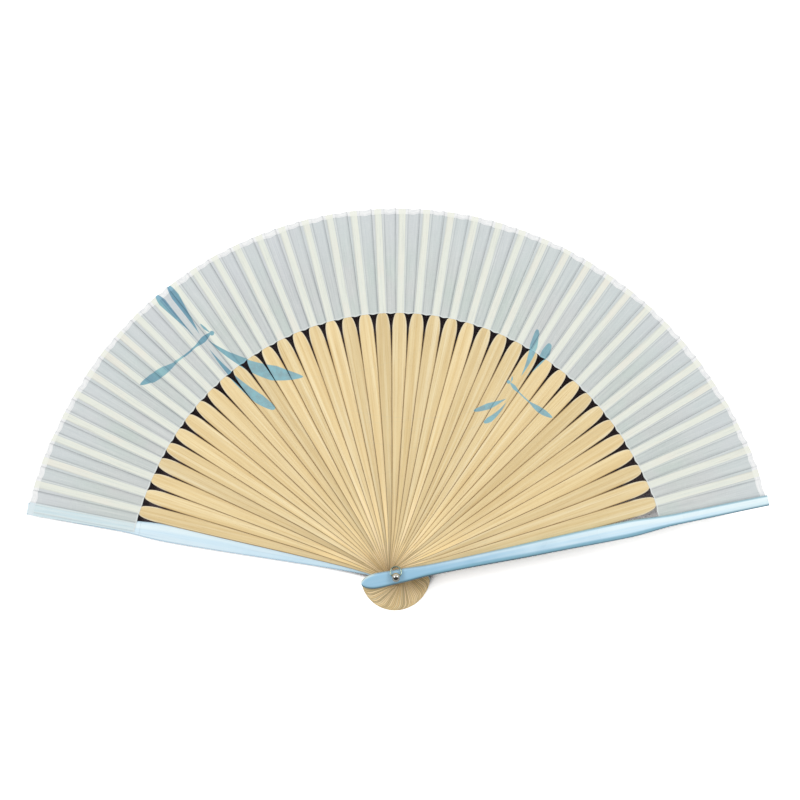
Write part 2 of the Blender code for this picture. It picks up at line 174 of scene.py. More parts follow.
# node helpers
class Nodes:
    """Short hand for building the node tree of a material or of the world."""

    def __init__(self, owner, shader="Principled BSDF"):
        owner.use_nodes = True
        self.owner = owner
        self.tree = owner.node_tree
        self.shader = self.tree.nodes[shader]

    def put(self, socket, value):
        if hasattr(value, "is_output"):
            self.tree.links.new(value, socket)
        else:
            socket.default_value = value

    def math(self, op, a, b=0.0, c=0.0):
        node = self.tree.nodes.new("ShaderNodeMath")
        node.operation = op
        for socket, value in zip(node.inputs, (a, b, c)):
            self.put(socket, value)
        return node.outputs[0]

    def times(self, a, b):
        return self.math("MULTIPLY", a, b)

    def plus(self, a, b):
        return self.math("ADD", a, b)

    def minus(self, a, b):
        return self.math("SUBTRACT", a, b)

    def madd(self, a, b, c):
        """One value times another, plus a third."""
        return self.math("MULTIPLY_ADD", a, b, c)

    def uv(self, name):
        node = self.tree.nodes.new("ShaderNodeUVMap")
        node.uv_map = name
        return node.outputs[0]

    def split(self, vector):
        node = self.tree.nodes.new("ShaderNodeSeparateXYZ")
        self.put(node.inputs[0], vector)
        return node.outputs[0], node.outputs[1], node.outputs[2]

    def join(self, x, y, z=0.0):
        node = self.tree.nodes.new("ShaderNodeCombineXYZ")
        for socket, value in zip(node.inputs, (x, y, z)):
            self.put(socket, value)
        return node.outputs[0]

    def coords(self, kind):
        return self.tree.nodes.new("ShaderNodeTexCoord").outputs[kind]

    def ray(self, kind):
        return self.tree.nodes.new("ShaderNodeLightPath").outputs[f"Is {kind} Ray"]

    def noise(self, vector, scale, detail=2.0, rough=0.5):
        node = self.tree.nodes.new("ShaderNodeTexNoise")
        self.put(node.inputs["Vector"], vector)
        self.put(node.inputs["Scale"], scale)
        self.put(node.inputs["Detail"], detail)
        self.put(node.inputs["Roughness"], rough)
        return node.outputs[0]

    def strands(self, place, factors, detail=2.0, rough=0.5):
        """Noise that is drawn out differently along each axis of a place."""
        drawn = [self.times(v, factor) for v, factor in zip(place, factors)]
        return self.noise(self.join(*drawn), 1.0, detail, rough)

    def white(self, value, offset=0.0):
        """A number from 0 to 1 for each value; another offset gives another draw."""
        node = self.tree.nodes.new("ShaderNodeTexWhiteNoise")
        node.noise_dimensions = "1D"
        self.put(node.inputs["W"], self.plus(value, offset) if offset else value)
        return node.outputs[0]

    def ramp(self, value, low, high, to_low=0.0, to_high=1.0, smooth=True):
        node = self.tree.nodes.new("ShaderNodeMapRange")
        node.interpolation_type = "SMOOTHSTEP" if smooth else "LINEAR"
        node.clamp = True
        for name, v in (
            ("Value", value),
            ("From Min", low),
            ("From Max", high),
            ("To Min", to_low),
            ("To Max", to_high),
        ):
            self.put(node.inputs[name], v)
        return node.outputs[0]

    def line(self, value, middle, half, strength):
        """Strongest where the value is the middle one, and nothing half a width away."""
        away = self.math("ABSOLUTE", self.minus(value, middle))
        return self.ramp(away, 0.0, half, strength, 0.0)

    def pick(self, share, a, b):
        """A number between two."""
        node = self.tree.nodes.new("ShaderNodeMix")
        for socket, value in zip((node.inputs[0], node.inputs[2], node.inputs[3]), (share, a, b)):
            self.put(socket, value)
        return node.outputs[0]

    def mix(self, share, a, b, how="MIX"):
        node = self.tree.nodes.new("ShaderNodeMix")
        node.data_type = "RGBA"
        node.blend_type = how
        self.put(node.inputs[0], share)
        for socket, value in ((node.inputs[6], a), (node.inputs[7], b)):
            self.put(socket, (*value, 1.0) if isinstance(value, tuple) else value)
        return node.outputs[2]

    def tint(self, colour, value, span, shade):
        """The colour towards a screen colour; the span is from, to and the shares at both."""
        return self.mix(self.ramp(value, *span), colour, srgb(*shade))

    def scaled(self, colour, factor):
        node = self.tree.nodes.new("ShaderNodeVectorMath")
        node.operation = "SCALE"
        self.put(node.inputs[0], colour)
        self.put(node.inputs["Scale"], factor)
        return node.outputs[0]

    def bump(self, height, strength, distance):
        node = self.tree.nodes.new("ShaderNodeBump")
        self.put(node.inputs["Height"], height)
        self.put(node.inputs["Strength"], strength)
        self.put(node.inputs["Distance"], distance)
        self.put(self.shader.inputs["Normal"], node.outputs[0])

    def set(self, **values):
        for name, value in values.items():
            self.put(self.shader.inputs[name.replace("_", " ")], value)


def srgb(r, g, b):
    """A linear colour from a screen colour."""
    shares = (c / 255 for c in (r, g, b))
    return tuple(c / 12.92 if c <= 0.04045 else ((c + 0.055) / 1.055) ** 2.4 for c in shares)


# the print: two dragonflies
def wing(root, tip, width, bow, fullest, taper=0.42):
    """A wing, in millimetres on the open fan; a low taper makes a blunt tip."""
    return {
        "root": root,
        "tip": tip,
        "width": width,
        "bow": bow,
        "fullest": fullest,
        "taper": taper,
    }


# places as (right, up) in millimetres from the rivet on the open fan
DRAGONFLIES = (
    {
        "wings": (
            wing((-99.2, 124.0), (-115.0, 149.0), 4.3, 0.2, 0.78, 0.3),
            wing((-101.8, 122.8), (-121.4, 143.9), 4.6, -0.2, 0.84, 0.3),
            wing((-95.4, 121.4), (-46.2, 101.9), 8.0, 4.5, 0.72, 0.62),
            wing((-94.8, 117.0), (-61.0, 85.6), 5.4, 2.4, 0.80, 0.34),
            wing((-93.2, 124.6), (-98.8, 129.5), 1.3, -0.3, 0.55),
        ),
        "body": ((-94.2, 124.2), (-129.9, 98.8), 4.6, 1.5),
        "head": ((-92.9, 124.6), 1.25),
    },
    {
        "wings": (
            wing((64.6, 100.6), (73.6, 124.6), 4.3, 1.2, 0.68, 0.36),
            wing((67.6, 100.8), (79.6, 116.9), 4.4, 0.9, 0.74, 0.28),
            wing((57.4, 89.6), (40.6, 83.5), 3.3, -0.4, 0.55, 0.34),
            wing((57.4, 88.2), (45.6, 77.3), 3.0, -1.1, 0.80, 0.36),
            wing((59.6, 97.6), (60.2, 101.0), 1.0, 0.2, 0.55),
        ),
        "body": ((59.6, 97.2), (80.3, 79.6), 3.1, -1.3),
        "head": ((58.4, 98.0), 1.0),
    },
)


def print_mask(n, place):
    """How strongly the printed dragonflies cover a point of the open fan, and the ink's wash."""
    x, y, _ = n.split(n.scaled(place, 1 / MM))
    cover = None

    def bowed(a, b, bow):
        """Along a bowed line from a to b, 0 to 1, and the distance from it in millimetres."""
        dx, dy = b[0] - a[0], b[1] - a[1]
        length = math.hypot(dx, dy)
        ux, uy = dx / length, dy / length
        px, py = n.minus(x, a[0]), n.minus(y, a[1])
        s = n.madd(px, ux / length, n.times(py, uy / length))
        t = n.madd(py, ux, n.times(px, -uy))
        inside = n.times(s, n.minus(1.0, s))
        return s, n.math("ABSOLUTE", n.madd(inside, 4.0 * bow, t))

    def add(half, away):
        """Covers what lies within the half width; the edge of the print is a little soft."""
        nonlocal cover
        mask = n.ramp(n.minus(half, away), -0.10, 0.18)
        cover = mask if cover is None else n.math("MAXIMUM", cover, mask)

    for fly in DRAGONFLIES:
        for w in fly["wings"]:
            s, away = bowed(w["root"], w["tip"], w["bow"])
            # the half width grows along the wing to its fullest place, then closes in a round tip
            peak = w["fullest"]
            grow = n.math("POWER", n.ramp(s, 0.0, peak, 0.0, 1.0, smooth=False), 0.95)
            close = n.math("POWER", n.ramp(s, peak, 1.0, 1.0, 0.0, smooth=False), w["taper"])
            half = n.times(n.times(grow, close), w["width"] / 2)
            add(half, away)
        # the body is thick at the chest and near the tail, with a thin waist between
        a, b, thick, bow = fly["body"]
        s, away = bowed(a, b, -bow)
        chest = n.times(
            n.ramp(s, -0.02, 0.10, smooth=False),
            n.ramp(s, 0.08, 0.24, 1.0, 0.0, smooth=False),
        )
        chest = n.times(n.math("SQRT", chest), 0.36)
        belly = n.math("POWER", n.ramp(s, 0.40, 0.74), 0.8)
        end = n.math("POWER", n.ramp(s, 0.82, 1.0, 1.0, 0.0, smooth=False), 0.5)
        belly = n.times(n.times(belly, end), 0.5)
        waist = n.times(n.ramp(s, 0.0, 0.06, 0.0, 0.12), n.ramp(s, 0.9, 1.0, 1.0, 0.0))
        half = n.math("MAXIMUM", n.math("MAXIMUM", chest, belly), waist)
        add(n.times(half, thick), away)
        (hx, hy), radius = fly["head"]
        dx, dy = n.minus(x, hx), n.minus(y, hy)
        add(radius, n.math("SQRT", n.madd(dx, dx, n.times(dy, dy))))
    # the ink is washed on: it lies unevenly and lets a little of the ground through
    wash = n.noise(n.join(x, y), 0.22, 3.0, 0.6)
    grain = n.noise(n.join(x, y), 3.0, 2.0, 0.6)
    wash = n.madd(grain, 0.35, n.times(wash, 0.65))
    return n.times(cover, n.ramp(wash, 0.3, 0.7, 0.78, 0.97)), wash


def inked(n, colour, place, deep, light):
    """The ground colour with the printed dragonflies over it."""
    cover, wash = print_mask(n, place)
    return n.mix(cover, colour, n.mix(n.ramp(wash, 0.36, 0.60), deep, light))


def dyed(n, colour, place, number, part):
    """Cloth with the print soaked into it; place and depth differ between a pleat's faces."""
    face = n.math("FLOOR", n.times(n.plus(number, part), 2.0))
    shift = n.times(n.minus(n.white(face), 0.5), PRINT_SHIFT)
    x, y, _ = n.split(place)
    cover, wash = print_mask(n, n.join(n.plus(x, shift), n.plus(y, shift)))
    depth = n.madd(n.white(face, 19.0), 0.30, n.minus(wash, 0.15))
    ink = n.mix(n.ramp(depth, 0.30, 0.66), srgb(98, 168, 200), srgb(158, 211, 227))
    return n.mix(cover, colour, n.mix(1.0, colour, ink, "MULTIPLY"))


# materials
def bamboo_material():
    n = Nodes(bpy.data.materials.new("bamboo"))
    gx, gy, _ = n.split(n.uv("grain"))
    rx, ry, _ = n.split(n.uv("rest"))
    radius = n.math("SQRT", n.madd(rx, rx, n.times(ry, ry)))
    rib = n.math("FLOOR", n.plus(n.math("DIVIDE", gx, GRAIN_STEP), 0.5))

    def strands(across, lengthwise, detail=3.0):
        return n.strands((gx, gy, rib), (across, lengthwise, 3.7), detail, 0.6)

    fibre = strands(5200.0, 45.0)
    streak = strands(1500.0, 14.0)
    band = strands(430.0, 7.0, 2.0)
    cloud = strands(90.0, 30.0, 2.0)
    fleck = strands(8200.0, 380.0, 1.0)

    colour = n.mix(n.ramp(streak, 0.30, 0.70), srgb(241, 223, 183), srgb(231, 207, 157))
    colour = n.tint(colour, band, (0.42, 0.68, 0.0, 0.65), (219, 191, 139))
    colour = n.tint(colour, band, (0.30, 0.45, 0.65, 0.0), (247, 233, 200))
    colour = n.tint(colour, fibre, (0.50, 0.76, 0.0, 0.75), (196, 161, 106))
    colour = n.tint(colour, cloud, (0.45, 0.75, 0.0, 0.35), (242, 218, 168))
    colour = n.tint(colour, fleck, (0.66, 0.78, 0.0, 0.40), (158, 120, 68))
    colour = n.mix(n.times(n.white(rib, 77.0), 0.20), colour, srgb(242, 212, 160))
    # the ribs differ in tone, most plainly where they lie close together at the rivet; towards the
    # rivet they are also painted lighter, painted light against the shade of the stack there
    tone = n.minus(n.white(rib), 0.75)
    spread = n.ramp(radius, 15 * MM, 60 * MM, 0.60, 0.13)
    level = n.ramp(radius, 15 * MM, 55 * MM, 1.24, 1.01)
    colour = n.scaled(colour, n.madd(tone, spread, level))
    # at the tails each rib gets a random tone that is lighter on average: random tone, and painted
    # light against the shade under the front guard
    painted_light_and_tone = n.minus(n.white(rib, 31.0), 0.34)
    tails = n.ramp(radius, 14 * MM, 19 * MM, 0.62, 0.0)
    colour = n.scaled(colour, n.madd(painted_light_and_tone, tails, 1.0))
    # a little warmer, and no brighter than bamboo gets
    colour = n.mix(1.0, colour, (1.0, 1.0, 0.95), "MULTIPLY")
    colour = n.mix(1.0, colour, (0.97, 0.78, 0.47), "DARKEN")

    left, right, _ = n.split(n.uv("edge"))
    near = n.math("MINIMUM", left, right)
    # sawn edges are browner, in a line that is finer where the ribs lie close together; the brown
    # line also stands in for the shade between overlapping ribs, so it is partly painted shade
    line = n.ramp(radius, 14 * MM, 70 * MM, 0.22 * MM, 0.55 * MM)
    stray_fibre = n.minus(fibre, 0.5)
    ragged = n.madd(stray_fibre, n.times(line, 0.8), near)
    edge = n.ramp(ragged, n.times(line, 0.15), line, 0.95, 0.0)
    _, _, facing = n.split(n.coords("Normal"))
    edge = n.times(edge, n.ramp(n.math("ABSOLUTE", facing), 0.15, 0.6, 0.3, 1.0))
    edge = n.times(edge, n.ramp(radius, 90 * MM, 125 * MM, 1.0, 0.7))
    colour = n.mix(edge, colour, srgb(120, 82, 38))
    # painted highlight: the arris of the round shoulder is painted lighter, as if it caught the
    # lamps
    arris_highlight = n.ramp(ragged, 0.25 * MM, 0.75 * MM, 1.0, 0.0)
    arris_highlight = n.times(arris_highlight, n.ramp(radius, 123 * MM, 128 * MM))
    colour = n.mix(n.times(arris_highlight, 0.65), colour, srgb(246, 236, 206))
    # towards the rivet the ribs rub and darken
    colour = n.tint(colour, radius, (6 * MM, 40 * MM, 0.08, 0.0), (184, 146, 94))
    colour = inked(n, colour, n.uv("rest"), srgb(96, 156, 178), srgb(130, 185, 198))
    n.set(Base_Color=colour, Specular_IOR_Level=0.35)
    n.set(Roughness=n.ramp(fibre, 0.3, 0.8, 0.44, 0.60))
    relief = n.madd(streak, 0.9, n.madd(band, 0.8, fibre))
    n.bump(relief, 0.45, 0.09 * MM)
    return n.owner


def lacquer_material(name, near, far, tip, side, share):
    """Lacquer near the tail, along the leaf, at the tip and, by a share, on the outer side."""
    n = Nodes(bpy.data.materials.new(name))
    near, far, tip, side = srgb(*near), srgb(*far), srgb(*tip), srgb(*side)
    grain = n.uv("grain")
    gx, gy, _ = n.split(grain)
    fibre = n.strands((gx, gy), (1500.0, 20.0), 3.0, 0.6)
    brush = n.strands((gx, gy), (420.0, 12.0), 2.0, 0.5)
    fine = n.strands((gx, gy), (6000.0, 160.0), 2.0, 0.6)
    cloud = n.noise(grain, 55.0)
    left, right, _ = n.split(n.uv("edge"))
    edge = n.math("MINIMUM", left, right)
    reach = n.math("DIVIDE", gy, 160 * MM)
    reach = n.plus(reach, n.ramp(cloud, 0.3, 0.7, -0.08, 0.08))
    # painted highlight: the lacquer is painted lighter from the tail towards the leaf and the tip,
    # in place of the lamps' gloss along the guard
    colour = n.mix(n.ramp(reach, 0.02, 0.85), near, far)
    colour = n.mix(n.ramp(gy, 150 * MM, GUARD_REACH - 4 * MM), colour, tip)
    # brush streaks painted lighter, more so towards the leaf: brushwork and painted highlight
    brush_and_highlight = n.ramp(brush, 0.42, 0.66, 0.0, 0.45)
    brush_and_highlight = n.times(brush_and_highlight, n.ramp(gy, 0.0, 60 * MM, 0.15, 1.0))
    colour = n.mix(brush_and_highlight, colour, srgb(228, 242, 248))
    # painted highlight: the crown of the face is painted lighter along the leaf
    crown = n.math("ABSOLUTE", n.minus(left, 2.3 * MM))
    crown = n.ramp(crown, 0.4 * MM, 2.0 * MM, 1.0, 0.0)
    crown = n.times(crown, n.ramp(gy, 40 * MM, 130 * MM, 0.0, 0.8))
    colour = n.mix(crown, colour, srgb(238, 252, 255))
    colour = n.tint(colour, fibre, (0.52, 0.78, 0.0, 0.20), (124, 176, 205))
    colour = n.tint(colour, fine, (0.62, 0.80, 0.0, 0.14), (104, 150, 178))
    # painted shade: the lacquer is darker along both arrises, in a band with a ragged edge from the
    # fibres
    painted_light_and_tone = n.madd(n.minus(fibre, 0.5), 0.9 * MM, edge)
    painted_light_and_tone = n.times(n.ramp(painted_light_and_tone, 0.05 * MM, 0.95 * MM, 1.0, 0.0), 0.45)
    colour = n.mix(painted_light_and_tone, colour, srgb(98, 140, 166))
    # painted shade on the outer side, which faces away from the lamps: a band that is wider along
    # the middle, with a darker painted rim
    wide = n.ramp(gy, 125 * MM, 150 * MM, 1.0, 0.0)
    wide = n.times(n.ramp(gy, 5 * MM, 45 * MM), wide)
    outer = n.ramp(
        n.madd(n.minus(brush, 0.5), 0.8 * MM, right),
        n.madd(wide, 0.9 * MM, 0.5 * MM),
        n.madd(wide, 1.0 * MM, 1.9 * MM),
        share,
        0.0,
    )
    colour = n.mix(outer, colour, side)
    # painted shade: a darker band along the inner edge, along the leaf
    inner = n.ramp(left, 0.6 * MM, 1.4 * MM, share, 0.0)
    inner = n.times(inner, n.ramp(gy, 40 * MM, 70 * MM, 0.0, 0.8))
    colour = n.mix(inner, colour, srgb(140, 186, 200))
    # painted shade: the darker rim right at the outer edge
    rim = n.ramp(right, 0.35 * MM, 1.15 * MM, share, 0.0)
    rim = n.times(rim, n.ramp(gy, 50 * MM, 140 * MM, 1.0, 0.35))
    colour = n.mix(rim, colour, n.scaled(side, 0.36))
    # painted highlight: the bevel at the tail's inner corner is painted lighter
    tail_bevel_highlight = n.ramp(left, 0.4 * MM, 1.5 * MM, 0.8, 0.0)
    tail_bevel_highlight = n.times(tail_bevel_highlight, n.ramp(gy, -13 * MM, -8 * MM, 1.0, 0.0))
    colour = n.mix(tail_bevel_highlight, colour, srgb(214, 236, 238))
    n.set(Base_Color=colour, Specular_IOR_Level=0.5, Coat_Weight=0.8, Coat_Roughness=0.14)
    n.set(Roughness=n.ramp(cloud, 0.3, 0.7, 0.26, 0.38))
    n.bump(n.madd(brush, 0.9, n.times(fibre, 0.6)), 0.35, 0.07 * MM)
    return n.owner


def cloth_place(n, reach=None):
    """Within a cell: 0 to 1 from one strip's start to the next, the cell's number, the radius
    (on the tape the distance from its inner edge) and the distance from the tongue's middle."""
    u, radius, _ = n.split(n.uv("cell"))
    part = n.math("FRACT", u)
    turn = n.minus(n.times(part, PITCH), LEAD)
    return part, n.math("FLOOR", u), radius, n.times(turn, reach or radius)


def on_guard(n, part, number):
    """Where the first strip lies on the back guard."""
    first = n.ramp(number, 0.4, 0.6, 1.0, 0.0)
    return n.times(first, n.ramp(part, 0.46, 0.5, 1.0, 0.0))


def weave(n, place, threads):
    """Height of a plain weave, and of its threads, which wander a little in width."""
    x, y, _ = n.split(place)
    turn = 2 * math.pi * threads
    warp = n.math("SINE", n.times(x, turn))
    weft = n.math("SINE", n.times(y, turn))
    slubs = [n.strands((x, y), factors) for factors in ((260.0, 5200.0), (5200.0, 260.0))]
    return n.times(warp, weft), n.plus(*slubs)


def silk_material():
    n = Nodes(bpy.data.materials.new("silk"))
    place = n.uv("rest")
    part, number, radius, offset = cloth_place(n)
    crossing, slub = weave(n, place, 4200.0)
    # the tongue lies a little off the strip's middle, more so towards the rim
    offset = n.minus(offset, n.ramp(radius, 140 * MM, 184 * MM, 0.25 * MM, 0.52 * MM))
    on_tongue = n.ramp(n.math("ABSOLUTE", offset), 1.48 * MM, 2.00 * MM, 1.0, 0.0)
    cloud = n.noise(place, 30.0, 3.0, 0.55)
    hue, tone = n.white(number), n.white(number, 51.0)
    streak = n.strands((part, radius, number), (11.0, 22.0, 2.3), 3.0, 0.6)
    hair = n.strands((part, radius, number), (46.0, 55.0, 5.1), 2.0, 0.6)

    panel = n.mix(n.ramp(cloud, 0.38, 0.62), srgb(203, 206, 204), srgb(197, 207, 201))
    shade = n.mix(tone, srgb(201, 203, 207), srgb(194, 206, 201))
    panel = n.mix(n.times(hue, 0.6), panel, shade)
    panel = n.tint(panel, streak, (0.48, 0.75, 0.0, 0.60), (216, 220, 217))
    panel = n.tint(panel, streak, (0.28, 0.46, 0.45, 0.0), (184, 191, 191))
    panel = n.tint(panel, radius, (148 * MM, 186 * MM, 0.0, 0.5), (210, 216, 221))
    bare = n.mix(n.ramp(streak, 0.35, 0.7), srgb(232, 234, 222), srgb(226, 231, 221))
    bare = n.tint(bare, cloud, (0.48, 0.66, 0.0, 0.45), (236, 229, 217))
    lacquered = n.mix(n.ramp(streak, 0.35, 0.65), srgb(205, 225, 231), srgb(216, 231, 234))
    colour = n.mix(on_tongue, panel, bare)
    # the guard's blue shows through the first strip
    colour = n.mix(on_guard(n, part, number), colour, lacquered)

    # painted shade in the creases: beside the tongue, along the fold, before the next strip
    beside = n.line(offset, 1.95 * MM, 0.30 * MM, 0.6)
    before = n.times(n.line(offset, -1.72 * MM, 0.34 * MM, 0.8), n.ramp(part, 0.5, 0.45))
    fold = n.line(part, 0.505, 0.045, 1.0)
    foot = n.ramp(part, 0.86, 0.985)
    crease_shade = n.math("MAXIMUM", n.math("MAXIMUM", beside, before), n.math("MAXIMUM", fold, foot))
    crease_shade = n.times(crease_shade, n.times(n.ramp(streak, 0.3, 0.65, 1.0, 0.5), 0.52))
    colour = n.mix(crease_shade, colour, srgb(146, 152, 156))
    # painted highlight: a thin lighter line beside the fold's painted shade
    colour = n.mix(n.line(part, 0.448, 0.028, 0.7), colour, srgb(222, 226, 222))
    # painted shade along the tongue's edge under the glued cloth, more plainly near the rim
    tongue_edge_shade = n.line(offset, -1.32 * MM, 0.22 * MM, 1.0)
    tongue_edge_shade = n.times(tongue_edge_shade, n.ramp(radius, 150 * MM, 176 * MM, 0.1, 0.55))
    colour = n.mix(tongue_edge_shade, colour, srgb(196, 197, 190))
    # a woven edge runs along the inner side
    woven = (LEAF_IN + 0.45 * MM, LEAF_IN + 0.85 * MM, 0.7, 0.0)
    colour = n.tint(colour, radius, woven, (226, 231, 229))
    colour = n.tint(colour, hair, (0.54, 0.74, 0.0, 0.40), (228, 231, 227))
    colour = n.tint(colour, hair, (0.26, 0.45, 0.38, 0.0), (168, 175, 176))
    colour = n.tint(colour, slub, (0.95, 1.35, 0.0, 0.20), (236, 239, 237))
    colour = n.tint(colour, slub, (0.62, 0.9, 0.14, 0.0), (156, 166, 170))
    colour = dyed(n, colour, place, number, part)
    n.set(Base_Color=colour, Roughness=0.62, Specular_IOR_Level=0.25)
    n.set(Sheen_Weight=0.2, Sheen_Roughness=0.45)
    height = n.madd(crossing, 0.35, n.times(slub, 0.8))
    height = n.madd(hair, 1.6, height)
    n.bump(n.madd(streak, 2.6, height), 0.45, 0.06 * MM)
    return n.owner


def tape_material():
    n = Nodes(bpy.data.materials.new("edge_tape"))
    place = n.uv("rest")
    part, number, inward, offset = cloth_place(n, LEAF_OUT)
    crossing, slub = weave(n, place, 3400.0)
    on_tongue = n.math("ABSOLUTE", n.minus(offset, 0.45 * MM))
    on_tongue = n.ramp(on_tongue, 1.6 * MM, 2.1 * MM, 1.0, 0.0)
    tone = n.strands((part, inward, number), (6.0, 900.0, 1.0))
    colour = n.mix(n.ramp(tone, 0.35, 0.65), srgb(229, 231, 232), srgb(241, 242, 241))
    warm = n.times(on_tongue, n.ramp(inward, 1.4 * MM, 2.7 * MM, 1.0, 0.85))
    colour = n.mix(warm, colour, srgb(235, 237, 225))
    colour = n.tint(colour, slub, (0.8, 1.3, 0.0, 0.4), (248, 248, 248))
    # on the back guard the lacquer shows through
    through = n.times(on_guard(n, part, number), 0.85)
    colour = n.mix(through, colour, srgb(215, 230, 236))
    dashes = n.ramp(n.math("SINE", n.times(part, 2 * math.pi * STITCHES)), -0.2, 0.4)
    stitch = n.line(inward, 0.45 * MM, 0.18 * MM, 0.6)
    stitch = n.times(stitch, n.ramp(on_tongue, 0.0, 1.0, 0.8, 0.3))
    stitch = n.times(stitch, n.madd(dashes, 0.5, 0.5))
    colour = n.mix(stitch, colour, srgb(196, 199, 202))
    # painted shade along the fold and before the next strip
    crease_shade = n.math("MAXIMUM", n.line(part, 0.5, 0.035, 0.7), n.ramp(part, 0.90, 0.985, 0.0, 0.9))
    colour = n.mix(n.times(crease_shade, 0.30), colour, srgb(172, 177, 181))
    colour = dyed(n, colour, place, number, part)
    n.set(Base_Color=colour, Roughness=0.7, Specular_IOR_Level=0.25)
    n.set(Sheen_Weight=0.2, Sheen_Roughness=0.5)
    n.bump(n.madd(crossing, 0.5, slub), 0.4, 0.05 * MM)
    return n.owner


def steel_material(name, colour, rough):
    n = Nodes(bpy.data.materials.new(name))
    place = n.coords("Object")
    fine = n.noise(place, 2600.0, 3.0, 0.6)
    blotch = n.noise(place, 420.0)
    dark = n.scaled(colour, 0.3)
    n.set(Base_Color=n.mix(n.ramp(blotch, 0.4, 0.7, 0.0, 0.35), colour, dark))
    n.set(Metallic=1.0, Roughness=n.ramp(fine, 0.3, 0.75, rough, rough + 0.12))
    n.bump(n.plus(fine, blotch), 0.12, 0.02 * MM)
    return n.owner


# mesh helpers
def mesh_of(name, points, faces):
    mesh = bpy.data.meshes.new(name)
    mesh.from_pydata([tuple(p) for p in points], [], faces)
    mesh.update()
    bm = bmesh.new()
    bm.from_mesh(mesh)
    bmesh.ops.recalc_face_normals(bm, faces=bm.faces)
    bm.to_mesh(mesh)
    bm.free()
    return mesh


def loft(name, rings, closed=False):
    """A skin through rings of equally many points, closed in a circle or with flat ends."""
    count = len(rings[0])
    points = [p for ring in rings for p in ring]
    faces = []
    for k in range(len(rings) if closed else len(rings) - 1):
        a, b = k * count, (k + 1) % len(rings) * count
        for j in range(count):
            i = (j + 1) % count
            faces.append((a + j, a + i, b + i, b + j))
    if not closed:
        faces.append(tuple(range(count)))
        last = (len(rings) - 1) * count
        faces.append(tuple(range(last + count - 1, last - 1, -1)))
    return mesh_of(name, points, faces)


def lathe(name, profile, segments):
    """A turned solid about Z from (radius, z) points, with a flat end at the first and last."""
    turns = [2 * math.pi * k / segments for k in range(segments)]
    return loft(name, [[(r * math.cos(a), r * math.sin(a), z) for a in turns] for r, z in profile])


def put(name, mesh, material=None):
    obj = bpy.data.objects.new(name, mesh)
    bpy.context.scene.collection.objects.link(obj)
    if material is not None:
        mesh.materials.clear()
        mesh.materials.append(material)
    return obj


def cut(mesh, cutter):
    """The mesh with the cutter's solid taken out."""
    blank, tool = put("blank", mesh), put("tool", cutter)
    modifier = blank.modifiers.new("cut", "BOOLEAN")
    modifier.operation = "DIFFERENCE"
    modifier.solver = "EXACT"
    modifier.object = tool
    bpy.context.view_layer.update()
    graph = bpy.context.evaluated_depsgraph_get()
    made = bpy.data.meshes.new_from_object(blank.evaluated_get(graph))
    for obj in (blank, tool):
        bpy.data.objects.remove(obj, do_unlink=True)
    return made


def bored(mesh, segments):
    """The mesh with the rivet's bore through it."""
    bar = bpy.data.meshes.new("bar")
    bm = bmesh.new()
    bmesh.ops.create_cone(
        bm, cap_ends=True, segments=segments, radius1=HOLE_R, radius2=HOLE_R, depth=0.05
    )
    bm.to_mesh(bar)
    bm.free()
    return cut(mesh, bar)


def smooth(mesh, degrees=35):
    mesh.shade_smooth()
    mesh.set_sharp_from_angle(angle=math.radians(degrees))


def write_uv(mesh, name, values):
    """A UV map from one pair of numbers for each vertex."""
    layer = mesh.uv_layers.new(name=name)
    loops = np.zeros(len(mesh.loops), np.int32)
    mesh.loops.foreach_get("vertex_index", loops)
    layer.data.foreach_set("uv", np.asarray(values, np.float32)[loops].ravel())


def places(mesh):
    co = np.zeros(len(mesh.vertices) * 3, np.float32)
    mesh.vertices.foreach_get("co", co)
    return co.reshape(-1, 3).astype(float)


def move_to(mesh, x, y, z):
    mesh.vertices.foreach_set("co", np.stack([x, y, z], 1).astype(np.float32).ravel())


# ribs
def rib_half(y):
    """Half a rib's width at a place along it."""
    start = LEAF_IN - SHOULDER
    tongue = TONGUE_W / 2
    waisted = (
        (-SWELL, 3.9 * MM),
        (0.0, 3.5 * MM),
        (WAIST, 2.6 * MM),
        (start, RIB_BELLY_HALF),
    )
    body = along(waisted, y)
    if y > start:
        share = min((y - start) / (LEAF_IN - start), 1.0)
        body = tongue + (RIB_BELLY_HALF - tongue) * math.sqrt(1.0 - share**3)
    return body * round_end(y, -RIB_TAIL, RIB_ROUND)


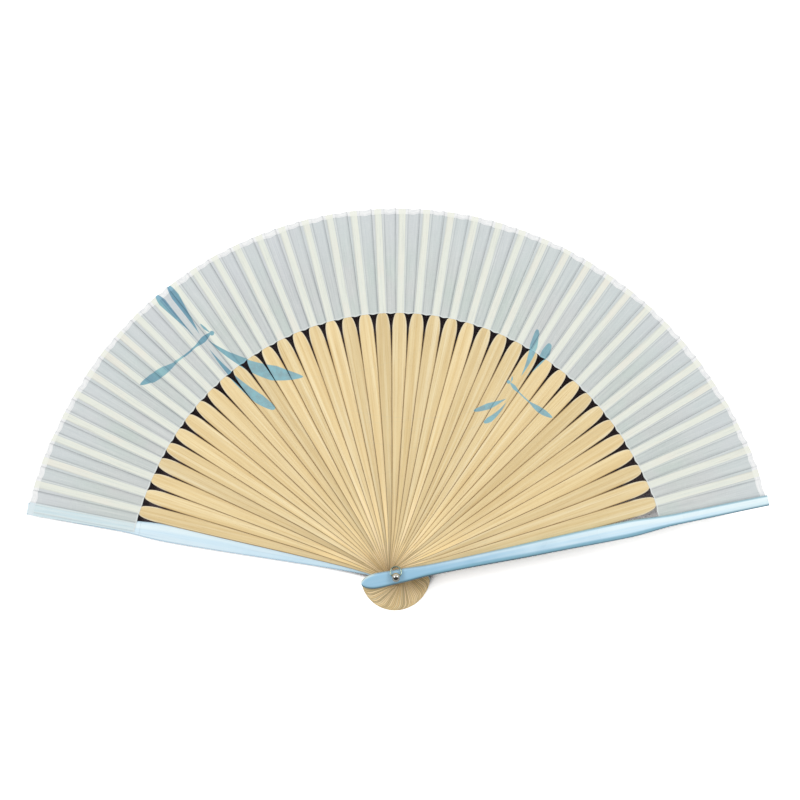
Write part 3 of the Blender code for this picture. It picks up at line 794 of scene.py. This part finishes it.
def rib_template():
    """A rib along +Y from the rivet, with its lower face at height 0."""
    shoulder, quarter = LEAF_IN - SHOULDER, math.pi / 2
    stations = [
        -RIB_TAIL + RIB_ROUND * (1 - math.cos(a)) for a in np.linspace(0.15, quarter, 12)[:-1]
    ]
    stations += [RIB_ROUND - RIB_TAIL, -11.5 * MM]
    stations += list(np.linspace(-SWELL, WAIST, 10)[:-1])
    stations += list(np.linspace(WAIST, shoulder, 12)[:-1])
    stations += [
        shoulder + (SHOULDER - 0.5 * MM) * math.sin(a) ** (2 / 3)
        for a in np.linspace(0.0, quarter, 19)[:-1]
    ]
    stations += [LEAF_IN + d * MM for d in (-0.5, -0.25, -0.08, 0.3)]
    stations += list(np.linspace(LEAF_IN + 12 * MM, TONGUE_END - 0.8 * MM, 4))
    stations += [TONGUE_END - 0.25 * MM, TONGUE_END]
    rings = []
    for y in stations:
        h = rib_half(y)
        if y > TONGUE_END - 0.3 * MM:
            h *= 0.8 if y >= TONGUE_END else 0.96
        # thick up to just before the leaf, and thinned a little at the tail's very end
        t = eased(RIB_T, TONGUE_T, (y - LEAF_IN + 1.1 * MM) / (1.1 * MM))
        t *= 0.78 + 0.22 * min(1.0, (y + RIB_TAIL) / (0.25 * MM))
        arris = min(0.16 * MM, 0.55 * t)
        bevel = min(0.05 * MM, 0.25 * t)
        crown = 0.03 * MM if t > 0.3 * MM else 0.0
        section = [
            (-h, bevel),
            (-h, t - arris),
            (-h + 0.3 * arris, t - 0.3 * arris),
            (-h + arris, t),
            (-h * 0.5, t + crown),
            (0.0, t + crown * 1.3),
            (h * 0.5, t + crown),
            (h - arris, t),
            (h - 0.3 * arris, t - 0.3 * arris),
            (h, t - arris),
            (h, bevel),
            (h - bevel, 0.0),
            (-h + bevel, 0.0),
        ]
        rings.append([(x, y, z) for x, z in section])
    return bored(loft("rib_blank", rings), 32)


def make_ribs():
    template = rib_template()
    co = places(template)
    half = np.array([rib_half(y) for y in co[:, 1]])
    bamboo = bamboo_material()
    # the last rib, which lies on the others, is broader on the guard's side
    start, full = LAST_BROADENS
    broader = np.array([eased(0.0, LAST_BROADER, (y - start) / (full - start)) for y in co[:, 1]])
    broader *= np.sqrt(1.0 - np.clip((co[:, 1] - LEAF_IN) / SHOULDER + 1.0, 0.0, 1.0) ** 3)
    broad = co[:, 0] + broader * np.clip(co[:, 0] / half, 0.0, 1.0)
    # how much of the leaf's stray each point takes: none up to the waist, all at the shoulder
    share = np.clip((co[:, 1] - WAIST) / (LEAF_IN - SHOULDER - WAIST), 0.0, 1.0)
    for i in range(1, RIBS + 1):
        mesh = template.copy()
        turn = bearing(i)
        c, s = math.cos(turn), math.sin(turn)
        x = broad if i == RIBS else co[:, 0]
        # the rib's shoulder ends where the leaf begins
        y = co[:, 1] + stray(EDGE_IN, i) * share
        move_to(mesh, x, y, co[:, 2])
        mesh.transform(Matrix.Translation((0, 0, layer_z(i))) @ Matrix.Rotation(turn, 4, "Z"))
        write_uv(mesh, "rest", np.stack([x * c - y * s, x * s + y * c], 1))
        lengthwise = co[:, 1] + GRAIN_SHIFT * ((i * 7) % 11)
        write_uv(mesh, "grain", np.stack([co[:, 0] + GRAIN_STEP * i, lengthwise], 1))
        write_uv(mesh, "edge", np.stack([half + co[:, 0], half - co[:, 0]], 1))
        smooth(mesh, 50)
        rib = put(f"bamboo_rib_{i:02d}", mesh, bamboo)
        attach(rib, f"rib_{i:02d}_body")
        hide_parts(f"rib_{i:02d}")


# guards
def guard_half(y):
    """Half a guard's width at a place along it."""
    waisted = (
        (-SWELL, 3.95 * MM),
        (0.0, 3.65 * MM),
        (GUARD_WAIST, 2.85 * MM),
        (BELLY, 4.5 * MM),
        (SLENDER, GUARD_LEAF_HALF),
    )
    return along(waisted, y) * round_end(y, -GUARD_TAIL, GUARD_TAIL - SWELL)


def guard_mesh():
    """A guard along +Y from the rivet, with its flat side at height 0 and its crown up."""
    stations = [
        -GUARD_TAIL + (GUARD_TAIL - SWELL) * (1 - math.cos(a))
        for a in np.linspace(0.12, math.pi / 2, 15)[:-1]
    ]
    stations += list(np.linspace(-SWELL, GUARD_WAIST, 12)[:-1])
    stations += list(np.linspace(GUARD_WAIST, BELLY, 20)[:-1])
    stations += list(np.linspace(BELLY, LEAF_IN - 0.7 * MM, 9)[:-1])
    stations += [LEAF_IN - 0.6 * MM, LEAF_IN]
    stations += list(np.linspace(LEAF_IN + 1.5 * MM, SLENDER, 7)[:-1])
    stations += list(np.linspace(SLENDER, GUARD_REACH - 0.6 * MM, 7))
    stations += [GUARD_REACH - 0.35 * MM, GUARD_REACH - 0.15 * MM, GUARD_REACH]
    outward = [0.15, 0.4, 0.62, 0.74, 0.83, 0.9, 0.95, 0.985, 1]
    rings = []
    for y in stations:
        h = guard_half(y)
        thick = eased(GUARD_T, GUARD_TIP_T, (y - BELLY) / (GUARD_REACH - BELLY))
        # the flat side is cut back where the leaf lies between the guard and its neighbour
        low = 0.4 * MM if y > LEAF_IN - 0.3 * MM else 0.0
        tip = max(0.0, (y - (GUARD_REACH - 0.6 * MM)) / (0.6 * MM))
        tail = max(0.0, 1.0 - (y + GUARD_TAIL) / (1.1 * MM))
        edge, bevel = min(1.1 * MM, h * 0.6), 0.12 * MM
        narrow = 1.0 - 0.03 * tip
        ring = []
        for q in [-q for q in reversed(outward)] + outward:
            inset = max(0.0, abs(q) * h - (h - edge)) / edge
            inset = min(1.0, math.hypot(inset, tail * 0.95))
            drop = edge * (1.0 - math.sqrt(max(0.0, 1.0 - inset**2)))
            off = max(0.0, abs(q) - 0.4) / 0.6
            z = thick - 0.35 * MM * off**2 - drop
            z -= 0.6 * MM * (1.0 - math.sqrt(max(0.0, 1.0 - (tip * 0.96) ** 2)))
            ring.append((q * h * narrow, y, max(z, low + 0.25 * MM)))
        for x, z in ((h, low + bevel), (h - bevel, low), (bevel - h, low), (-h, low + bevel)):
            ring.append((x * narrow, y, z))
        rings.append(ring)
    return bored(loft("guard_blank", rings), 40)


def make_guards():
    template = guard_mesh()
    co = places(template)
    half = np.array([guard_half(y) for y in co[:, 1]])
    planed = np.interp(co[:, 1] / MM, *PLANED) * MM
    across = co[:, 0] - planed * (co[:, 0] + half) / (2 * half)
    for node, body, layer, level in (
        ("guard_front", FRONT, RIBS + 1, FRONT_Z),
        ("guard_back", ROOT, 0, BACK_Z + GUARD_T),
    ):
        back = node == "guard_back"
        mesh = template.copy()
        place = Matrix.Translation((0, 0, level)) @ Matrix.Rotation(bearing(layer), 4, "Z")
        if back:
            # its crown faces down
            place = place @ Matrix.Rotation(math.pi, 4, "Y")
        else:
            move_to(mesh, across, co[:, 1], co[:, 2])
        mesh.transform(place)
        # the two guards show different places of the same grain
        shift = 0.5 if back else 0.0
        write_uv(mesh, "grain", np.stack([co[:, 0] + shift, co[:, 1]], 1))
        write_uv(mesh, "edge", np.stack([half + co[:, 0], half - co[:, 0]], 1))
        smooth(mesh, 32)
        lacquer = lacquer_material("lacquer_" + node, *GUARD_LOOKS[node])
        guard = put("lacquered_" + node, mesh, lacquer)
        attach(guard, body)
        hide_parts(node)


# silk and tape
def strip_start(i):
    return clockwise_of(i) - LEAD


def leaf_stations():
    """(clockwise angle, height, cell place, angle of the rib it keeps to) across the leaf.

    A cell is a strip glued to a rib's tongue, 0 to 0.5, and the free pleat after it."""
    reach = math.asin(GUARD_LEAF_HALF / LEAF_OUT)
    rows = []
    for i in range(RIBS + 1):
        start, end = strip_start(i), strip_start(i + 1)
        fold = start + PLEAT
        z = layer_z(i)
        for share in (0.0, 0.035, 0.25, 0.5, 0.75, 0.95, 1.0):
            angle = start + PLEAT * share
            if i == 0:
                angle = -reach + (fold + reach) * share
            sag = 0.02 * MM * (1 - (2 * share - 1) ** 2)
            rows.append((angle, z + STRIP_LEVEL + sag, i + share / 2, clockwise_of(i)))
        for share in (0.035, 0.10, 0.25, 0.4, 0.55, 0.7, 0.84, 0.92, RISER):
            angle = fold + (end - fold) * share
            lift = eased(0.0, PLEAT_LEVEL - STRIP_LEVEL, share / 0.10)
            # the last riser keeps to the next rib
            over = min(1.0, share / RISER)
            bow = 0.075 * MM * math.sin(math.pi * over) ** 0.8
            w = clockwise_of(i) + (clockwise_of(i + 1) - clockwise_of(i)) * over
            rows.append((angle, z + STRIP_LEVEL + lift + bow, i + 0.5 + share / 2, w))
    z = FRONT_Z + GUARD_LEVEL
    start = strip_start(RIBS + 1)
    end = OPEN + math.asin((GUARD_LEAF_HALF - 1.0 * MM) / LEAF_OUT)
    for share in (0.0, 0.05, 0.5, 1.0):
        angle = start + (end - start) * share
        rows.append((angle, z, RIBS + 1 + share / 2 * 0.98, OPEN))
    return rows


def polar(radius, clockwise, z):
    turn = OPEN / 2 - clockwise
    return (-radius * math.sin(turn), radius * math.cos(turn), z)


def ripple(i, r):
    """A slight unevenness of each pleat along its length."""
    long_wave = 0.012 * MM * math.sin(i * 2.399 + r / MM * 0.19)
    return long_wave + 0.008 * MM * math.sin(i * 5.1 + r / MM * 0.53)


def follow_fold(obj):
    """Bakes the piece's placement into its mesh."""
    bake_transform(obj)


def edges_at(cell):
    """How far the inner edge and the rim stray there; the free pleats fall a little short."""
    layer = min(cell, RIBS + 1)
    inner, outer = stray(EDGE_IN, layer), stray(EDGE_OUT, layer)
    if cell >= RIBS + 1:
        return inner, outer
    part = cell - int(cell)
    short = math.sin(math.pi * min(1.0, max(0.0, (part - 0.45) / 0.5))) ** 2
    # folded, the free pleat lies over its rib's thin end and no further down the shoulder
    least = stray(EDGE_IN, int(cell)) - 0.45 * MM
    return max(inner - 0.4 * MM * short, least), outer - 0.45 * MM * short


def flat_area(rows):
    """The leaf's area, from its edges at each station."""
    area = 0.0
    for (a, _, cell, _), (b, _, _, _) in zip(rows, rows[1:]):
        low, high = edges_at(cell)
        area += ((LEAF_OUT + high) ** 2 - (LEAF_IN + low) ** 2) * (b - a) / 2
    return area


def make_silk():
    rows = leaf_stations()
    radii = [LEAF_IN, LEAF_IN + 0.5 * MM]
    radii += list(np.linspace(LEAF_IN + 4 * MM, LEAF_OUT - 2.6 * MM, 9))
    radii += [LEAF_OUT - 1.2 * MM, LEAF_OUT - 0.12 * MM]
    points, cells, rests, shares = [], [], [], []
    for side in (0, 1):
        for angle, z, cell, w in rows:
            i = min(int(cell), RIBS)
            free = 0.55 < cell - int(cell) < 0.95 and cell < RIBS + 1
            low, high = edges_at(cell)
            for r in radii:
                wave = ripple(i, r) if free else 0.0
                t = (r - LEAF_IN) / (LEAF_OUT - LEAF_IN)
                reach = r + low * (1.0 - t) + high * t
                points.append(polar(reach, angle, z + wave + SILK_T * side))
                cells.append((cell, r))
                rests.append(polar(reach, angle, 0.0)[:2])
                shares.append(w / OPEN)
    nr, na = len(radii), len(rows)
    top = na * nr
    faces = []
    for a in range(na - 1):
        for k in range(nr - 1):
            p = a * nr + k
            quad = (p, p + 1, p + nr + 1, p + nr)
            faces.append(quad)
            faces.append(tuple(q + top for q in reversed(quad)))
    # the thin walls along the two arcs and at the two ends
    for a in range(na - 1):
        for k in (0, nr - 1):
            p, q = a * nr + k, (a + 1) * nr + k
            faces.append((p, q, q + top, p + top))
    for a in (0, na - 1):
        for k in range(nr - 1):
            p, q = a * nr + k, a * nr + k + 1
            faces.append((p, q, q + top, p + top))
    mesh = mesh_of("silk", points, faces)
    write_uv(mesh, "rest", rests)
    write_uv(mesh, "cell", cells)
    smooth(mesh, 30)
    silk = put("silk_sheet", mesh, silk_material())
    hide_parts("silk_leaf")
    follow_fold(silk)
    return silk


def make_tape():
    """The tape is folded over the rim and closes on both faces of the silk."""
    gap, wall = 0.008 * MM, 0.03 * MM
    cells, rests, shares, rings = [], [], [], []
    for angle, z, cell, w in leaf_stations():
        step = 0.30 * MM * (cell - int(cell) - 0.5) if cell < RIBS + 1 else 0.0
        away = edges_at(cell)[1]
        rim = LEAF_OUT + step
        width = (2.55 + 0.35 * math.sin(cell * 1.3) + 0.2 * math.sin(cell * 3.3)) * MM
        inner = rim - width
        low, high = z - gap, z + SILK_T + gap
        section = [
            (inner, low - wall),
            (rim - 0.10 * MM, low - wall),
            (rim - 0.02 * MM, low - wall * 0.5),
            (rim + 0.02 * MM, (low + high) / 2),
            (rim - 0.02 * MM, high + wall * 0.5),
            (rim - 0.10 * MM, high + wall),
            (inner, high + wall),
            (inner - 0.01 * MM, high + wall * 0.4),
            (inner, high),
            (rim - 0.08 * MM, high),
            (rim - 0.08 * MM, low),
            (inner, low),
        ]
        rings.append([polar(r + away, angle, h) for r, h in section])
        for r, h in section:
            cells.append((cell, r - inner))
            rests.append(polar(r + away, angle, 0.0)[:2])
            shares.append(w / OPEN)
    mesh = loft("tape", rings)
    write_uv(mesh, "rest", rests)
    write_uv(mesh, "cell", cells)
    smooth(mesh, 30)
    tape = put("rim_tape", mesh, tape_material())
    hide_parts("rim_binding")
    follow_fold(tape)
    return tape


# rivet and ring
BALL_R, NECK_R, SHANK_R, FOOT_R = 2.3 * MM, 1.3 * MM, 1.0 * MM, 2.1 * MM
RING_R, WIRE_R = 2.75 * MM, 0.4 * MM
GUARD_TOP = FRONT_Z + GUARD_T
BALL_Z = GUARD_TOP + 0.1 * MM + math.sqrt(BALL_R**2 - NECK_R**2)


def make_rivet(steel):
    lowest = math.asin(NECK_R / BALL_R)
    profile = []
    for k in range(1, 33):
        turn = (math.pi - lowest) * k / 32
        profile.append((BALL_R * math.sin(turn), BALL_Z + BALL_R * math.cos(turn)))
    # the neck, the shank and the peened foot
    profile += [
        (NECK_R - 0.05 * MM, GUARD_TOP + 0.04 * MM),
        (SHANK_R, GUARD_TOP + 0.02 * MM),
        (SHANK_R, 0.75 * MM),
        (FOOT_R - 0.12 * MM, 0.70 * MM),
        (FOOT_R, 0.60 * MM),
        (FOOT_R, 0.32 * MM),
        (FOOT_R - 0.08 * MM, 0.16 * MM),
        (FOOT_R - 0.26 * MM, 0.04 * MM),
        (FOOT_R - 0.5 * MM, 0.0),
    ]
    # the hole for the ring flares to both sides as the ring's wire bends
    hole = []
    for k in range(17):
        x = BALL_R * 1.1 * (k / 8 - 1)
        bow = RING_R - math.sqrt(RING_R**2 - x**2)
        hole.append((WIRE_R + 0.3 * MM + bow, x))
    cutter = lathe("hole", hole, 40)
    cutter.transform(Matrix.Translation((0, 0, BALL_Z)) @ Matrix.Rotation(math.pi / 2, 4, "Y"))
    mesh = cut(lathe("pin_blank", profile, 48), cutter)
    smooth(mesh, 40)
    rivet = put("rivet_ball_pin", mesh, steel)
    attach(rivet, ROOT)
    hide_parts("rivet_pin")


def make_washer(steel):
    low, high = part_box("rivet_washer")[0].z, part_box("rivet_washer")[1].z
    bore, rim, e = HOLE_R, 3.0 * MM, 0.1 * MM
    lower = [(bore, e / 2), (bore + e / 2, 0.0), (rim - e, 0.0), (rim - 0.3 * e, 0.3 * e), (rim, e)]
    section = [(r, low + up) for r, up in lower] + [(r, high - up) for r, up in reversed(lower)]
    rings = []
    for k in range(64):
        a = 2 * math.pi * k / 64
        rings.append([(r * math.cos(a), r * math.sin(a), z) for r, z in section])
    mesh = loft("washer", rings, closed=True)
    smooth(mesh, 40)
    washer = put("turned_washer", mesh, steel)
    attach(washer, ROOT)
    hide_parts("rivet_washer")


def make_ring():
    steel = steel_material("ring_steel", srgb(150, 166, 152), 0.10)
    # it hangs from the ball's hole and rests on the guard
    drop = BALL_Z - GUARD_TOP - WIRE_R - 0.1 * MM
    tilt = math.asin(drop / (2 * RING_R))
    place = (
        Matrix.Translation((0, 0, BALL_Z))
        @ Matrix.Rotation(-tilt, 4, "X")
        @ Matrix.Translation((0, RING_R, 0))
    )
    joint, half_gap = math.radians(28), math.radians(0.9)
    rings = []
    for k in range(97):
        a = joint + half_gap + (2 * math.pi - 2 * half_gap) * k / 96
        wire = WIRE_R * (0.9 if k in (0, 96) else 1.0)
        ring = []
        for j in range(18):
            b = 2 * math.pi * j / 18
            r = RING_R + wire * math.cos(b)
            ring.append(place @ Vector((r * math.sin(a), r * math.cos(a), wire * math.sin(b))))
        rings.append(ring)
    mesh = loft("ring", rings)
    smooth(mesh, 45)
    ring = put("wire_ring", mesh, steel)
    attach(ring, RING)
    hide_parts("tassel_ring")


# stage, lights and camera
def make_stage():
    bpy.ops.mesh.primitive_plane_add(size=6.0, location=(0.0, 0.09, -0.0002))
    floor = bpy.context.active_object
    floor.name = "floor"
    n = Nodes(bpy.data.materials.new("floor"))
    # the shadow deepens where little of the room reaches the floor under the fan
    occlusion = n.tree.nodes.new("ShaderNodeAmbientOcclusion")
    occlusion.samples = 16
    occlusion.inputs["Distance"].default_value = 0.08
    openness = n.ramp(occlusion.outputs["AO"], 0.38, 0.55)
    seen = n.mix(openness, (0.15, 0.12, 0.14), (1.9, 1.9, 1.9))
    # what the camera doesn't see of it throws little light back
    n.set(Base_Color=n.mix(n.ray("Camera"), (0.35, 0.35, 0.35), seen))
    n.set(Roughness=0.9, Specular_IOR_Level=0.0)
    floor.data.materials.append(n.owner)


def soft_box(name, place, target, side, watts):
    data = bpy.data.lights.new(name, "AREA")
    data.shape = "RECTANGLE"
    data.size, data.size_y = side, side
    data.energy = watts
    lamp = bpy.data.objects.new(name, data)
    bpy.context.scene.collection.objects.link(lamp)
    lamp.location = place
    lamp.rotation_euler = (Vector(target) - Vector(place)).to_track_quat("-Z", "Y").to_euler()


def make_lights():
    world = bpy.data.worlds.new("studio")
    bpy.context.scene.world = world
    n = Nodes(world, "Background")
    _, y, z = n.split(n.coords("Generated"))
    # the light comes from the walls' upper half, less from the ceiling and little along the table
    height = n.times(n.ramp(z, 0.05, 0.45, 0.02, 0.76), n.ramp(z, 0.74, 0.98, 1.0, 0.75))
    # what shines sees white walls, and the dark side of the room that the camera stands in
    dark = n.times(n.ramp(z, 0.10, 0.25), n.ramp(y, 0.05, 0.35, 1.0, 0.0))
    strength = n.pick(n.ray("Glossy"), height, n.ramp(dark, 0.0, 1.0, 1.0, 0.06))
    # the camera sees plain white
    clear = n.math("MAXIMUM", n.ray("Camera"), n.ray("Transmission"))
    n.set(Color=(1.0, 1.0, 1.0, 1.0), Strength=n.pick(clear, strength, 1.0))
    for name, place in (("left", (-0.95, 0.35, 1.15)), ("right", (0.95, 0.45, 1.15))):
        soft_box(name, place, (0.0, 0.09, 0.0), 0.5, 5.9)


def make_camera():
    """Square on from the front, over the middle of the stack, and rolled as in the photograph."""
    roll = math.radians(-0.675)
    distance, seen = 1.6, 408 * MM
    right = Vector((math.cos(roll), math.sin(roll), 0.0))
    up = Vector((-math.sin(roll), math.cos(roll), 0.0))
    data = bpy.data.cameras.new("camera")
    data.sensor_width = 36.0
    data.lens = data.sensor_width * distance / seen
    data.clip_start, data.clip_end = 0.01, 20.0
    camera = bpy.data.objects.new("camera", data)
    bpy.context.scene.collection.objects.link(camera)
    centre = right * 2.04 * MM + up * 89.5 * MM
    camera.location = centre + Vector((0.0, 0.0, layer_z(RIBS // 2) + distance))
    camera.rotation_euler = (0.0, 0.0, roll)
    bpy.context.scene.camera = camera


def main():
    make_camera()
    make_stage()
    make_lights()
    make_ribs()
    make_guards()
    silk = make_silk()
    tape = make_tape()
    area, width = flat_area(leaf_stations()), LEAF_OUT - LEAF_IN
    steel = steel_material("plated_steel", srgb(206, 206, 198), 0.06)
    make_rivet(steel)
    make_washer(steel)
    make_ring()
    bpy.context.scene.view_settings.view_transform = "Standard"
    bpy.context.view_layer.update()


main()
